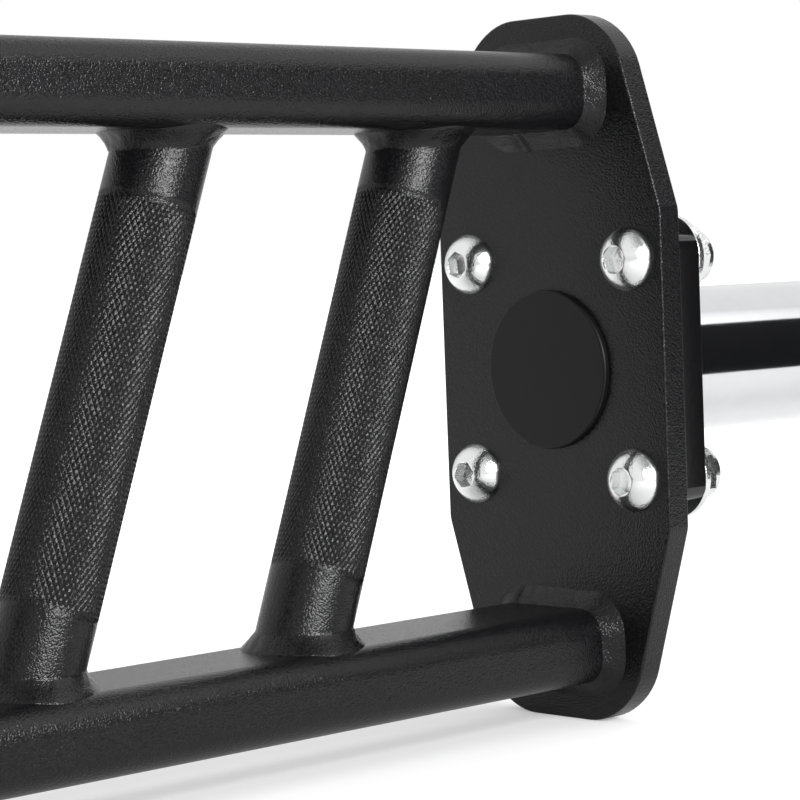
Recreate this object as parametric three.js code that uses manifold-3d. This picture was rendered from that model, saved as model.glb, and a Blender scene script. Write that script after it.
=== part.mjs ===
// Multi-grip press bar: two welded rails, four pairs of tilted grips, bolted-on rotating sleeves.
// Millimetres. +X runs along the bar and +Z is up; it stands at z = 0 on the feet of its end plates.
import * as THREE from "three";
import { mergeVertices } from "three/addons/utils/BufferGeometryUtils.js";
import Module from "manifold-3d";

const wasm = await Module();
wasm.setup();

// Clearances shared by every fit
const seat_gap = 0.3;
const running_gap = 0.5;
const overrun = 2;
const merge_distance = 0.0001;
const corner_steps = 3;

// Rails: flat-sided oval steel tubes, laid flat
const rail_width = 48.4;
const rail_thickness = 24.7;
const rail_corner_radius = 9;
const rail_wall = 3;
const rail_spacing = 181.4;
const rail_corner_steps = 5;

// Grips: tubes between the rails, tops leaning towards the end plates
const grip_pairs = 4;
const grip_pitch = 101.5;
const first_grip_from_centre = 101.5;
const last_grip_to_plate = 86;
const grip_diameter = 29;
const grip_wall = 3;
const grip_tilt = THREE.MathUtils.degToRad(20.2);
const grip_sides = 20;

// Fillet weld between a grip and a rail
const grip_weld_leg = 4.8;
const grip_weld_reach = 4.2;
const grip_weld_belly_share = 0.42;

// End plates: waisted flat steel with round corners
const plate_bolt_margin = 14.5;
const plate_end_margin = 25.6;
const plate_thickness = 9.5;
const plate_tip_width = 61;
const plate_shoulder_span = 103;
const plate_corner_radius = 24.5;
const plate_shoulder_radius = 9;
const plate_hole_room = 4;

// Fillet weld between a rail and an end plate
const rail_weld_leg = 5;
const rail_weld_belly_share = 0.58;

// Sleeve mount: a black flange with the axle welded into it
const flange_side_inset = 0.55;
const flange_hole_margin = 7.75;
const flange_thickness = 10;
const flange_corner_radius = 5;
const flange_hole_slack = 0.6;
const axle_end_room = 11.8;
const axle_tail = 3;
const axle_weld_leg = 4;
const axle_end_chamfer = 1.5;

// Button-head bolts, washers and locking nuts
const bolt_spacing = 71.5;
const bolt_diameter = 12;
const bolt_end_proud = 1;
const bolt_hole_slack = 1;
const bolt_head_diameter = 20.6;
const bolt_head_height = 6.6;
const bolt_head_land = 0.7;
const bolt_head_crown = 9.6;
const bolt_socket_width = 8;
const bolt_socket_depth = 4.2;
const bolt_end_chamfer = 1;
const washer_diameter = 28;
const washer_thickness = 2.5;
const nut_width = 19;
const nut_height = 12;
const nut_collar_height = 4;
const nut_chamfer = 1.1;
const nut_collar_inset = 0.7;
const nut_collar_round = 1.6;
const fastener_sides = 12;

// Plastic cap over the hole of the end plate
const cap_lip = 3.4;
const cap_height = 2;
const cap_edge_round = 0.8;
const cap_spigot_depth = 4;
const cap_spigot_wall = 2;
const cap_sides = 24;

// Chromed sleeve and what it turns on
const sleeve_diameter = 50;
const sleeve_wall = 5;
const sleeve_length = 412;
const sleeve_end_chamfer = 1.2;
const sleeve_sides = 28;
const bushing_wall = 4.2;
const bushing_length = 32;
const bushing_inset = 6;
const thrust_washer_inset = 2;
const thrust_washer_thickness = 1.5;
const end_washer_gap = 1;
const end_washer_thickness = 2;
const ring_reach = 2.5;
const ring_thickness = 1.5;
const ring_groove_depth = 1.1;
const ring_groove_slack = 0.3;
const ring_opening = THREE.MathUtils.degToRad(40);
const end_plug_inset = 1.8;
const end_plug_head = 2.4;
const end_plug_ease = 0.8;
const end_plug_spigot_depth = 10;
const end_plug_spigot_wall = 2.5;
const bore_sides = 16;

// Worked out from the sizes above
const plate_face = first_grip_from_centre + (grip_pairs - 1) * grip_pitch + last_grip_to_plate;
const plate_height = rail_spacing + 2 * plate_end_margin;
const plate_width = bolt_spacing + 2 * plate_bolt_margin;
const bar_height = plate_height / 2;
const rail_height = { upper: rail_spacing / 2, lower: -rail_spacing / 2 };
const flange_outer = plate_thickness + flange_thickness;
const sleeve_start = flange_outer + thrust_washer_thickness + seat_gap;
const sleeve_end = sleeve_start + sleeve_length;
const sleeve_bore = sleeve_diameter - 2 * sleeve_wall;
const bushing_outer_radius = sleeve_bore / 2 - seat_gap;
const bushing_inner_radius = bushing_outer_radius - bushing_wall;
const axle_diameter = 2 * (bushing_inner_radius - running_gap);
const axle_length = sleeve_end - end_plug_spigot_depth - axle_end_room - flange_outer;
const plate_hole_diameter = axle_diameter + 2 * (axle_weld_leg + plate_hole_room);
const bolt_hole_diameter = bolt_diameter + bolt_hole_slack;
const outer_bushing_start = axle_length - bushing_inset - bushing_length;
const end_washer_start = outer_bushing_start + bushing_length + seat_gap;
const ring_start = end_washer_start + end_washer_thickness + seat_gap;

// Materials
const paint = { color: 0x17181a, roughness: 0.55, metalness: 0.2 };
const gloss = { color: 0x0c0d0e, roughness: 0.2, metalness: 0.1 };
const chrome = { color: 0xdfe2e4, roughness: 0.08, metalness: 1 };
const zinc = { color: 0xd5d8da, roughness: 0.16, metalness: 1 };
const plastic = { color: 0x111214, roughness: 0.42, metalness: 0 };
const bronze = { color: 0xa8763e, roughness: 0.35, metalness: 1 };
const steel = { color: 0x8d9194, roughness: 0.35, metalness: 1 };

// Turns a geometry into a solid with shared vertices and no collapsed triangles.
function solidFrom(geometry) {
  const bare = new THREE.BufferGeometry();
  bare.setAttribute("position", geometry.getAttribute("position"));
  bare.setIndex(geometry.getIndex());
  const merged = mergeVertices(bare, merge_distance);
  const corners = merged.getIndex().array;
  const kept = [];
  for (let i = 0; i < corners.length; i += 3) {
    const [a, b, c] = [corners[i], corners[i + 1], corners[i + 2]];
    if (a !== b && b !== c && c !== a) kept.push(a, b, c);
  }
  const mesh = new wasm.Mesh({
    numProp: 3,
    vertProperties: new Float32Array(merged.getAttribute("position").array),
    triVerts: new Uint32Array(kept),
  });
  return new wasm.Manifold(mesh);
}

// Turns a solid back into a geometry for a mesh.
function geometryFrom(solid) {
  const mesh = solid.getMesh();
  const geometry = new THREE.BufferGeometry();
  geometry.setAttribute("position", new THREE.BufferAttribute(mesh.vertProperties, 3));
  geometry.setIndex(new THREE.BufferAttribute(mesh.triVerts, 1));
  geometry.computeVertexNormals();
  return geometry;
}

// Revolves a profile of [radius, x] points about the X axis. Points run with the material on their left.
function turned(profile, sides) {
  const points = profile.map(([radius, x]) => new THREE.Vector2(radius, x));
  const lathe = new THREE.LatheGeometry(points, sides);
  lathe.rotateZ(-Math.PI / 2);
  return solidFrom(lathe);
}

// A plain ring or disc about the X axis, from x = start over its length.
function ring(outer_radius, inner_radius, start, length, sides) {
  const end = start + length;
  const profile = [
    [inner_radius, start],
    [outer_radius, start],
    [outer_radius, end],
    [inner_radius, end],
  ];
  return turned([...profile, profile[0]], sides);
}

function disc(radius, start, length, sides) {
  const end = start + length;
  return turned([[0, start], [radius, start], [radius, end], [0, end]], sides);
}

// Extrudes a shape drawn in the Y-Z plane along +X, from x = start.
function extruded(shape, start, depth) {
  const geometry = new THREE.ExtrudeGeometry(shape, {
    depth,
    bevelEnabled: false,
    curveSegments: corner_steps,
  });
  const axes = new THREE.Matrix4().makeBasis(
    new THREE.Vector3(0, 1, 0),
    new THREE.Vector3(0, 0, 1),
    new THREE.Vector3(1, 0, 0),
  );
  geometry.applyMatrix4(axes.setPosition(start, 0, 0));
  return solidFrom(geometry);
}

// A closed outline through corners listed counter-clockwise, each rounded by its own radius.
function roundedShape(corners) {
  const shape = new THREE.Shape();
  corners.forEach((corner, i) => {
    const here = new THREE.Vector2(corner.y, corner.z);
    const before = corners[(i + corners.length - 1) % corners.length];
    const after = corners[(i + 1) % corners.length];
    const back = new THREE.Vector2(before.y, before.z).sub(here).normalize();
    const ahead = new THREE.Vector2(after.y, after.z).sub(here).normalize();
    const half_angle = Math.acos(back.dot(ahead)) / 2;
    const middle = back.clone().add(ahead).normalize();
    const centre = here.clone().addScaledVector(middle, corner.radius / Math.sin(half_angle));
    const first = Math.atan2(back.x, -back.y);
    const turn = Math.PI - 2 * half_angle;
    shape.absarc(centre.x, centre.y, corner.radius, first, first + turn, false);
  });
  return shape;
}

function roundHole(y, z, diameter, sides) {
  const points = [];
  for (let i = 0; i < sides; i += 1) {
    const angle = (2 * Math.PI * i) / sides;
    const radius = diameter / 2;
    points.push(new THREE.Vector2(y + radius * Math.cos(angle), z + radius * Math.sin(angle)));
  }
  return new THREE.Path(points);
}

function hexShape(width_across_flats) {
  const points = [];
  const radius = width_across_flats / Math.sqrt(3);
  for (let i = 0; i < 6; i += 1) {
    const angle = (Math.PI * i) / 3;
    points.push(new THREE.Vector2(radius * Math.cos(angle), radius * Math.sin(angle)));
  }
  return new THREE.Shape(points);
}

// Joins rings with equal numbers of points into one closed solid with flat ends.
function lofted(rings) {
  const count = rings[0].length;
  const positions = rings.flat().flatMap((point) => [point.x, point.y, point.z]);
  const triangles = [];
  for (let level = 0; level < rings.length - 1; level += 1) {
    for (let i = 0; i < count; i += 1) {
      const a = level * count + i;
      const b = level * count + ((i + 1) % count);
      triangles.push(a, b, b + count, a, b + count, a + count);
    }
  }
  const top = (rings.length - 1) * count;
  for (let i = 1; i < count - 1; i += 1) {
    triangles.push(0, i + 1, i, top, top + i, top + i + 1);
  }
  const geometry = new THREE.BufferGeometry();
  geometry.setAttribute("position", new THREE.Float32BufferAttribute(positions, 3));
  geometry.setIndex(triangles);
  return solidFrom(geometry);
}

// Rails. A section ring lies square to the bar, grown or shrunk all round by a margin.
function railRing(height, margin, x) {
  const radius = rail_corner_radius + margin;
  const side = rail_width / 2 - rail_corner_radius;
  const rise = rail_thickness / 2 - rail_corner_radius;
  const points = [];
  [[1, 1], [-1, 1], [-1, -1], [1, -1]].forEach(([across, up], corner) => {
    for (let i = 0; i <= rail_corner_steps; i += 1) {
      const angle = (Math.PI / 2) * (corner + i / rail_corner_steps);
      const y = across * side + radius * Math.cos(angle);
      points.push(new THREE.Vector3(x, y, height + up * rise + radius * Math.sin(angle)));
    }
  });
  return points;
}

function railTube(height, margin, start, end) {
  return lofted([railRing(height, margin, start), railRing(height, margin, end)]);
}

function makeRail(height) {
  const end = plate_face + overrun;
  return railTube(height, 0, -plate_face, plate_face).subtract(railTube(height, -rail_wall, -end, end));
}

// Grip. Every level ring of a tilted tube is an ellipse whose centre slides along X with height.
function gripRing(half_x, half_y, heightAt) {
  const points = [];
  for (let i = 0; i < grip_sides; i += 1) {
    const angle = (2 * Math.PI * i) / grip_sides;
    const y = half_y * Math.sin(angle);
    const z = heightAt(y);
    points.push(new THREE.Vector3(z * Math.tan(grip_tilt) + half_x * Math.cos(angle), y, z));
  }
  return points;
}

// The rings of one welded end, from the plain tube to inside the rail.
function gripEndRings(height) {
  const up = Math.sign(height);
  const radius = grip_diameter / 2;
  const half_x = radius / Math.cos(grip_tilt);
  const flat = rail_width / 2 - rail_corner_radius;
  const near_face = height - (up * rail_thickness) / 2;
  const railSkin = (y) => {
    const over = Math.min(Math.max(Math.abs(y) - flat, 0), rail_corner_radius);
    return near_face + up * (rail_corner_radius - Math.sqrt(rail_corner_radius ** 2 - over ** 2));
  };
  const toe = near_face - up * grip_weld_leg;
  const share = grip_weld_belly_share;
  const belly = grip_weld_reach * share;
  const reach = grip_weld_reach;
  return [
    gripRing(half_x, radius, () => toe),
    gripRing(half_x + belly, radius + belly, (y) => toe + (railSkin(y) - toe) * share),
    gripRing(half_x + reach, radius + reach, railSkin),
    gripRing(half_x + reach, radius + reach, (y) => railSkin(y) + up * overrun),
  ];
}

function makeGrip() {
  const { upper, lower } = rail_height;
  const rings = [...gripEndRings(lower).reverse(), ...gripEndRings(upper)];
  const bore_radius = grip_diameter / 2 - grip_wall;
  const bore_half_x = bore_radius / Math.cos(grip_tilt);
  const bore = lofted([lower, upper].map((height) => gripRing(bore_half_x, bore_radius, () => height)));
  const cuts = [upper, lower].map((height) => railTube(height, seat_gap, -plate_face, plate_face));
  return cuts.reduce((grip, cut) => grip.subtract(cut), lofted(rings)).subtract(bore);
}

// End plate, inner face at x = 0, with the fillet welds that hold the rails
function plateShape() {
  const tip = plate_tip_width / 2;
  const waist = plate_width / 2;
  const shoulder = plate_shoulder_span / 2;
  const end = plate_height / 2;
  const corner = (y, z, radius) => ({ y, z, radius });
  const shape = roundedShape([
    corner(waist, -shoulder, plate_shoulder_radius),
    corner(waist, shoulder, plate_shoulder_radius),
    corner(tip, end, plate_corner_radius),
    corner(-tip, end, plate_corner_radius),
    corner(-waist, shoulder, plate_shoulder_radius),
    corner(-waist, -shoulder, plate_shoulder_radius),
    corner(-tip, -end, plate_corner_radius),
    corner(tip, -end, plate_corner_radius),
  ]);
  shape.holes.push(roundHole(0, 0, plate_hole_diameter, cap_sides));
  shape.holes.push(...boltHoles(bolt_hole_diameter));
  return shape;
}

function boltPlaces() {
  const half = bolt_spacing / 2;
  return [
    { y: -half, z: half },
    { y: half, z: half },
    { y: half, z: -half },
    { y: -half, z: -half },
  ];
}

function boltHoles(diameter) {
  return boltPlaces().map(({ y, z }) => roundHole(y, z, diameter, fastener_sides));
}

function railWeld(height) {
  const belly = rail_weld_leg * rail_weld_belly_share;
  const root = plate_thickness / 2;
  const bead = lofted([
    railRing(height, 0, -rail_weld_leg),
    railRing(height, belly, -belly),
    railRing(height, rail_weld_leg, 0),
    railRing(height, rail_weld_leg, root),
  ]);
  return bead.subtract(railTube(height, seat_gap, -rail_weld_leg - overrun, root + overrun));
}

function makeEndPlate() {
  const plate = extruded(plateShape(), 0, plate_thickness);
  return plate.add(railWeld(rail_height.upper)).add(railWeld(rail_height.lower));
}

// Plastic cap: a thin round cover with a hollow spigot that clips into the plate's hole
function makeCap() {
  const radius = plate_hole_diameter / 2 + cap_lip;
  const spigot = plate_hole_diameter / 2 - seat_gap;
  return turned([
    [0, -cap_height],
    [radius - cap_edge_round, -cap_height],
    [radius, -cap_height + cap_edge_round],
    [radius, 0],
    [spigot, 0],
    [spigot, cap_spigot_depth],
    [spigot - cap_spigot_wall, cap_spigot_depth],
    [spigot - cap_spigot_wall, 0],
    [0, 0],
  ], cap_sides);
}

// Sleeve mount: the flange, and the axle welded through its middle from behind
function flangeShape() {
  const half_width = plate_width / 2 - flange_side_inset;
  const half_height = bolt_spacing / 2 + flange_hole_margin;
  const radius = flange_corner_radius;
  const shape = roundedShape([
    { y: half_width, z: -half_height, radius },
    { y: half_width, z: half_height, radius },
    { y: -half_width, z: half_height, radius },
    { y: -half_width, z: -half_height, radius },
  ]);
  shape.holes.push(...boltHoles(bolt_diameter + flange_hole_slack));
  return shape;
}

function makeSleeveMount() {
  const radius = axle_diameter / 2;
  const tail = plate_thickness - axle_tail;
  const end = flange_outer + axle_length;
  const groove = flange_outer + ring_start - ring_groove_slack / 2;
  const groove_end = groove + ring_thickness + ring_groove_slack;
  const axle = turned([
    [0, tail],
    [radius, tail],
    [radius + axle_weld_leg, plate_thickness],
    [radius + axle_weld_leg, plate_thickness + axle_tail],
    [radius, plate_thickness + axle_tail],
    [radius, groove],
    [radius - ring_groove_depth, groove],
    [radius - ring_groove_depth, groove_end],
    [radius, groove_end],
    [radius, end - axle_end_chamfer],
    [radius - axle_end_chamfer, end],
    [0, end],
  ], bore_sides);
  return extruded(flangeShape(), plate_thickness, flange_thickness).add(axle);
}

// Button-head bolt: its domed head rests on the plate's inner face and its shank runs outwards
function makeBolt() {
  const radius = bolt_head_diameter / 2;
  const crown = bolt_head_crown / 2;
  const rise = bolt_head_height - bolt_head_land;
  const centre = (radius ** 2 - crown ** 2 - rise ** 2) / (2 * rise);
  const dome = Math.hypot(radius, centre);
  const first = Math.atan2(rise + centre, crown);
  const last = Math.atan2(centre, radius);
  const arc = [];
  for (let i = 0; i <= corner_steps; i += 1) {
    const angle = first + ((last - first) * i) / corner_steps;
    arc.push([dome * Math.cos(angle), centre - bolt_head_land - dome * Math.sin(angle)]);
  }
  const shank = bolt_diameter / 2;
  const length = flange_outer + washer_thickness + nut_height + bolt_end_proud;
  const body = turned([
    [0, -bolt_head_height],
    ...arc,
    [radius, 0],
    [shank, 0],
    [shank, length - bolt_end_chamfer],
    [shank - bolt_end_chamfer, length],
    [0, length],
  ], fastener_sides);
  const start = -bolt_head_height - overrun;
  const socket = extruded(hexShape(bolt_socket_width), start, overrun + bolt_socket_depth);
  return body.subtract(socket);
}

function makeWasher() {
  const bore = bolt_hole_diameter / 2;
  return ring(washer_diameter / 2, bore, flange_outer, washer_thickness, fastener_sides);
}

// Locking nut: a chamfered hexagon with a round collar for its nylon ring
function makeNut() {
  const start = flange_outer + washer_thickness;
  const end = start + nut_height;
  const hex_end = end - nut_collar_height;
  const bore = bolt_diameter / 2 + seat_gap;
  const corner = nut_width / Math.sqrt(3);
  const face = nut_width / 2;
  const collar = face - nut_collar_inset;
  const envelope = turned([
    [bore, start],
    [face, start],
    [corner, start + nut_chamfer],
    [corner, hex_end - nut_chamfer],
    [collar, hex_end],
    [collar, end - nut_collar_round],
    [collar - nut_collar_round, end],
    [bore, end],
    [bore, start],
  ], fastener_sides);
  return extruded(hexShape(nut_width), start, nut_height).intersect(envelope);
}

// Chromed sleeve with a small chamfer at each end
function makeSleeve() {
  const outer = sleeve_diameter / 2;
  const inner = sleeve_bore / 2;
  const profile = [
    [inner, sleeve_start],
    [outer - sleeve_end_chamfer, sleeve_start],
    [outer, sleeve_start + sleeve_end_chamfer],
    [outer, sleeve_end - sleeve_end_chamfer],
    [outer - sleeve_end_chamfer, sleeve_end],
    [inner, sleeve_end],
  ];
  return turned([...profile, profile[0]], sleeve_sides);
}

function makeBushing(start) {
  const from = flange_outer + start;
  return ring(bushing_outer_radius, bushing_inner_radius, from, bushing_length, bore_sides);
}

// Thrust washer between the flange and the sleeve, and the washer under the retaining ring
function makeThrustWasher() {
  const outer = sleeve_diameter / 2 - thrust_washer_inset;
  const bore = axle_diameter / 2 + seat_gap;
  return ring(outer, bore, flange_outer, thrust_washer_thickness, bore_sides);
}

function makeEndWasher() {
  const outer = sleeve_bore / 2 - end_washer_gap;
  const bore = axle_diameter / 2 + seat_gap;
  return ring(outer, bore, flange_outer + end_washer_start, end_washer_thickness, bore_sides);
}

// Retaining ring: an open spring ring with two rounded ears
function makeRetainingRing() {
  const from = flange_outer + ring_start;
  const inner = axle_diameter / 2 - ring_groove_depth + seat_gap;
  const outer = axle_diameter / 2 + ring_reach;
  const ear_radius = sleeve_bore / 2 - seat_gap - outer;
  const closed = ring(outer, inner, from, ring_thickness, bore_sides);
  const wedge = new THREE.Shape();
  const reach = 2 * outer;
  wedge.moveTo(0, 0);
  wedge.lineTo(reach * Math.sin(-ring_opening / 2), reach * Math.cos(ring_opening / 2));
  wedge.lineTo(reach * Math.sin(ring_opening / 2), reach * Math.cos(ring_opening / 2));
  wedge.closePath();
  const depth = ring_thickness + 2 * overrun;
  let open = closed.subtract(extruded(wedge, from - overrun, depth));
  [-1, 1].forEach((side) => {
    const angle = (side * ring_opening) / 2;
    const ear = disc(ear_radius, from, ring_thickness, fastener_sides);
    open = open.add(ear.translate([0, outer * Math.sin(angle), outer * Math.cos(angle)]));
  });
  return open;
}

// Plastic plug that closes the open end of a sleeve
function makeEndPlug() {
  const radius = sleeve_diameter / 2 - end_plug_inset;
  const spigot = sleeve_bore / 2 - seat_gap;
  return turned([
    [0, sleeve_end],
    [spigot - end_plug_spigot_wall, sleeve_end],
    [spigot - end_plug_spigot_wall, sleeve_end - end_plug_spigot_depth],
    [spigot, sleeve_end - end_plug_spigot_depth],
    [spigot, sleeve_end],
    [radius, sleeve_end],
    [radius, sleeve_end + end_plug_head - end_plug_ease],
    [radius - end_plug_ease, sleeve_end + end_plug_head],
    [0, sleeve_end + end_plug_head],
  ], cap_sides);
}

// Assembly
const part = new THREE.Group();

function place(parent, name, solid, look) {
  const mesh = new THREE.Mesh(geometryFrom(solid), new THREE.MeshStandardMaterial(look));
  mesh.name = name;
  parent.add(mesh);
  return mesh;
}

const frame = new THREE.Group();
frame.position.z = bar_height;
part.add(frame);
place(frame, "upper_rail", makeRail(rail_height.upper), paint);
place(frame, "lower_rail", makeRail(rail_height.lower), paint);

// One half of the bar, built to the right; the left half is the same half turned about Z.
function addHalf(side, turn) {
  const half = new THREE.Group();
  half.rotation.z = turn;
  frame.add(half);
  const grip = makeGrip();
  for (let i = 0; i < grip_pairs; i += 1) {
    const mesh = place(half, `grip_${side}_${i + 1}`, grip, paint);
    mesh.position.x = first_grip_from_centre + i * grip_pitch;
  }

  const end = new THREE.Group();
  end.position.x = plate_face;
  half.add(end);
  place(end, `end_plate_${side}`, makeEndPlate(), paint);
  place(end, `centre_cap_${side}`, makeCap(), plastic);
  place(end, `sleeve_mount_${side}`, makeSleeveMount(), gloss);
  boltPlaces().forEach(({ y, z }, i) => {
    const fasteners = [
      ["bolt", makeBolt(), zinc],
      ["washer", makeWasher(), zinc],
      ["lock_nut", makeNut(), zinc],
    ];
    fasteners.forEach(([kind, solid, look]) => {
      place(end, `${kind}_${side}_${i + 1}`, solid, look).position.set(0, y, z);
    });
  });
  place(end, `thrust_washer_${side}`, makeThrustWasher(), bronze);
  place(end, `end_washer_${side}`, makeEndWasher(), steel);
  place(end, `retaining_ring_${side}`, makeRetainingRing(), steel);
  place(end, `sleeve_${side}`, makeSleeve(), chrome);
  place(end, `inner_bushing_${side}`, makeBushing(bushing_inset), bronze);
  place(end, `outer_bushing_${side}`, makeBushing(outer_bushing_start), bronze);
  place(end, `end_plug_${side}`, makeEndPlug(), plastic);
}

addHalf("right", 0);
addHalf("left", Math.PI);

export default part;
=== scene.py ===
import math

import bmesh
import bpy
from mathutils import Matrix, Vector, noise


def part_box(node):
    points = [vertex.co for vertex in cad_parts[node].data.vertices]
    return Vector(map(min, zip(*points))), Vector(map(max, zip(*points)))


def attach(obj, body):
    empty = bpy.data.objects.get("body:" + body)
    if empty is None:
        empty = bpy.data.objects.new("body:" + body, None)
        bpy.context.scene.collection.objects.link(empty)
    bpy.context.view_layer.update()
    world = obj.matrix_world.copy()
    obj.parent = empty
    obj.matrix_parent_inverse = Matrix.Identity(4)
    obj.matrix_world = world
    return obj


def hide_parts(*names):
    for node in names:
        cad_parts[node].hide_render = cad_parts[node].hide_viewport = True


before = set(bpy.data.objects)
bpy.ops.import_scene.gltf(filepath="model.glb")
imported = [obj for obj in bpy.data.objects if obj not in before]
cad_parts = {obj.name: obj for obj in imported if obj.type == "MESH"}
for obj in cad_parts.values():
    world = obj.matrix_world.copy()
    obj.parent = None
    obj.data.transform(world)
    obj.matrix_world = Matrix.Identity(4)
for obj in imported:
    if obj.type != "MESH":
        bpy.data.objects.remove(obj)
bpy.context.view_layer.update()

mm = 0.001
full_turn = 2 * math.pi
merge_gap = 0.002 * mm
sides = ("right", "left")
bolt_count = 4

# Places and sizes that the frame gives
rail_boxes = {"upper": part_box("upper_rail"), "lower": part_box("lower_rail")}
rail_height = {name: (high.z + low.z) / 2 for name, (low, high) in rail_boxes.items()}
rail_half_length, rail_half_width = rail_boxes["upper"][1].xy
rail_half_thickness = rail_boxes["upper"][1].z - rail_height["upper"]
bar_height = sum(rail_height.values()) / 2
plate_low, plate_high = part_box("end_plate_right")
plate_inner = rail_half_length
plate_outer = plate_high.x
plate_half_width = plate_high.y
plate_half_height = (plate_high.z - plate_low.z) / 2
flange_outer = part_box("thrust_washer_right")[0].x
bolt_boxes = [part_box(f"bolt_right_{i}") for i in range(1, bolt_count + 1)]
bolt_places = [(low + high) / 2 for low, high in bolt_boxes]
bolt_low, bolt_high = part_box("bolt_right_1")
washer_low, washer_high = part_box("washer_right_1")
nut_low, nut_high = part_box("lock_nut_right_1")
cap_low, cap_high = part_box("centre_cap_right")
sleeve_low, sleeve_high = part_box("sleeve_right")
sleeve_radius = (sleeve_high.z - sleeve_low.z) / 2
mount_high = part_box("sleeve_mount_right")[1]
plug_low, plug_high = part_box("end_plug_right")

# Sizes of the real pieces
rail_wall = 3 * mm
rail_corner_radius = 9 * mm
rail_corner_steps = 12
grip_count = 4
first_grip = 101.5 * mm
grip_pitch = 101.5 * mm
grip_radius = 14.5 * mm
grip_tilt = math.radians(20.2)

knurl_starts = 50
knurl_rows = 77
knurl_length = 121.4 * mm
knurl_depth = 0.34 * mm
knurl_flank = 0.52 * mm
knurl_run_out = 0.35 * mm
neck_ring_gap = 0.5 * mm

# Hollow bows a bead's face in, fullness rounds its crown, and the cut narrows it where the grip leans away
grip_weld_leg = 5.4 * mm
grip_weld_reach = 4.9 * mm
grip_weld_crown = 0.32 * mm
grip_weld_hollow = 1.6
grip_weld_fullness = 0.6
grip_weld_open_cut = 0.6
weld_steps = 10
weld_sink = 0.6 * mm

plate_tip_width = 61 * mm
plate_shoulder_span = 103 * mm
plate_corner_radius = 24.5 * mm
plate_shoulder_radius = 9 * mm
plate_edge_ease = 0.7 * mm
plate_hole_radius = 23 * mm
rail_weld_leg = 5.4 * mm
rail_weld_hollow = 1.3
rail_weld_crown = 0.55 * mm
rail_weld_fullness = 0.7
rail_weld_slant = 0.7
rail_weld_segments = 180
rail_weld_stop = {"upper": 0.8, "lower": 0.105}
rail_weld_stop_width = {"upper": 1.6 * mm, "lower": 4.5 * mm}
rail_weld_notch_width = 1.1 * mm

# Unevenness of the beads: for each kind, a step of the seed, the waves round the bead and those across it
grip_waves = {"slow": (0, 1.3, 0), "lump": (3, 5, 1.5), "fine": (5, 16, 4)}
rail_waves = {"slow": (0, 1.4, 0), "lump": (3, 6, 0.8), "fine": (5, 20, 4)}
# The share of each kind that goes into a part of a bead
grip_toe_shares = {"slow": 0.12, "fine": 0.05}
grip_crown_shares = {"lump": 0.9, "slow": 0.5, "fine": 0.5}
grip_flare_shares = {"slow": 0.1, "lump": 0.05}
rail_size_shares = {"slow": 0.1, "lump": 0.04, "fine": 0.02, "stop": 0.1}
rail_crown_shares = {"lump": 0.35, "fine": 0.2, "stop": 0.5}
# The noise is read this far apart in X and Y for each seed
seed_apart_x = 17.3
seed_apart_y = 5.1
left_grip_seed = 10
upper_weld_seed = 30
first_rail_seed = 50

flange_half_width = 49.7 * mm
flange_half_height = 43.5 * mm
flange_corner_radius = 5 * mm
flange_edge_ease = 0.5 * mm
flange_hole_radius = 6.3 * mm
axle_radius = 15 * mm
axle_chamfer = 1.5 * mm
axle_gap = 0.4 * mm
ring_ease = 0.3 * mm

bolt_radius = 6 * mm
bolt_hole_radius = 6.5 * mm
bolt_head_land = 0.7 * mm
bolt_crown_radius = 4.8 * mm
bolt_dome_steps = 12
socket_width = 8 * mm
socket_depth = 4.2 * mm
socket_cone = 1.1 * mm
socket_mouth = 4.55 * mm
socket_lip = 0.25 * mm
socket_floor_land = 0.6 * mm
thread_pitch = 1.75 * mm
thread_depth = 0.95 * mm
thread_turns = 9
thread_turn_steps = 8
thread_segments = 24
thread_run_in = 0.5 * mm
thread_tip_land = 0.2 * mm
# The height of a turn falls from its crest by the flank, and is cut off at 1 and at 0
thread_crest = 1.25
thread_flank = 2.6
# How far each bolt is turned, in degrees, as fitters leave them
bolt_turns = (8, 21, 50, 35)

nut_width = 19 * mm
nut_hex_height = 8 * mm
nut_chamfer = 1.1 * mm
nut_collar_radius = 8.8 * mm
nut_collar_round = 1.6 * mm
nut_round_steps = 6
nut_bore_gap = 0.3 * mm
nut_turn = 20
nut_segments = 72

cap_edge_round = 0.8 * mm
cap_spigot_radius = 22.7 * mm
cap_spigot_wall = 2 * mm

sleeve_wall = 5 * mm
sleeve_ease = 1.2 * mm
sleeve_bore_ease = 0.4 * mm
plug_gap = 0.3 * mm
plug_wall = 2.5 * mm
plug_rim_width = 4 * mm
plug_rim_slope = 1 * mm
plug_dish_depth = 0.8 * mm
plug_edge_round = 0.8 * mm
plug_dish_round = 1 * mm

plate_corner_steps = 12
flange_corner_steps = 6
ease_steps = 3
round_segments = 96
small_segments = 48


# Materials

# Sockets of a colour Mix node: the share of the second colour, the two colours, and what comes out
mix_share = 0
mix_first = 6
mix_second = 7
mix_result = 2


def linear(hex_colour):
    """Turns an sRGB hex colour into the linear values that Blender's sockets hold."""
    channels = [int(hex_colour[i:i + 2], 16) / 255 for i in (1, 3, 5)]
    return [c / 12.92 if c <= 0.04045 else ((c + 0.055) / 1.055) ** 2.4 for c in channels] + [1]


def add(tree, kind, links=None, **settings):
    """Adds a node with its settings. links gives each input a value, or the output that feeds it."""
    node = tree.nodes.new("ShaderNode" + kind)
    for name, value in settings.items():
        setattr(node, name, value)
    for socket, value in (links or {}).items():
        if isinstance(value, bpy.types.NodeSocket):
            tree.links.new(value, node.inputs[socket])
        else:
            node.inputs[socket].default_value = value
    return node


def new_material(name):
    material = bpy.data.materials.new(name)
    material.use_nodes = True
    material.node_tree.nodes.clear()
    return material, material.node_tree


def per_metre(size):
    """Noise scale whose grains are about that size."""
    return 1 / size


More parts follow.
